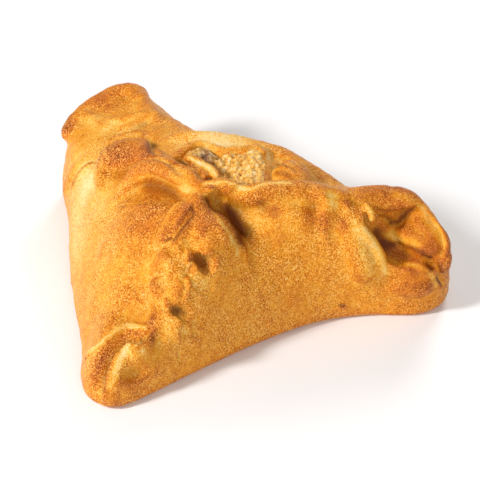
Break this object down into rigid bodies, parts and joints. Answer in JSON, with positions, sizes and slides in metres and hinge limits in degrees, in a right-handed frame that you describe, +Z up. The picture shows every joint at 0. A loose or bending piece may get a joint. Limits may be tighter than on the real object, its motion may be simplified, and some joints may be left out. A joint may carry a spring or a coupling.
{
  "type": "triangular meat pie",
  "caption": "Hand-folded triangular baked pie: golden dough drawn up from the sides and pinched along seams to a vent where cooked meat shows.",
  "frame": {"origin": "under the middle of the pie's box, on the surface that it rests on", "axes": "+Z up; +X from the two left corners to the tall open right corner; +Y from the front left corner to the back left corner"},
  "size_m": [0.1175, 0.1191, 0.0445],
  "materials": {
    "crust": "baked golden-brown dough, satin with an egg-wash gloss on the folds",
    "filling": "moist browned minced meat with baked juices"
  },
  "bodies": {
    "root": {"crust": "crust", "filling": "filling"}
  },
  "joints": []
}
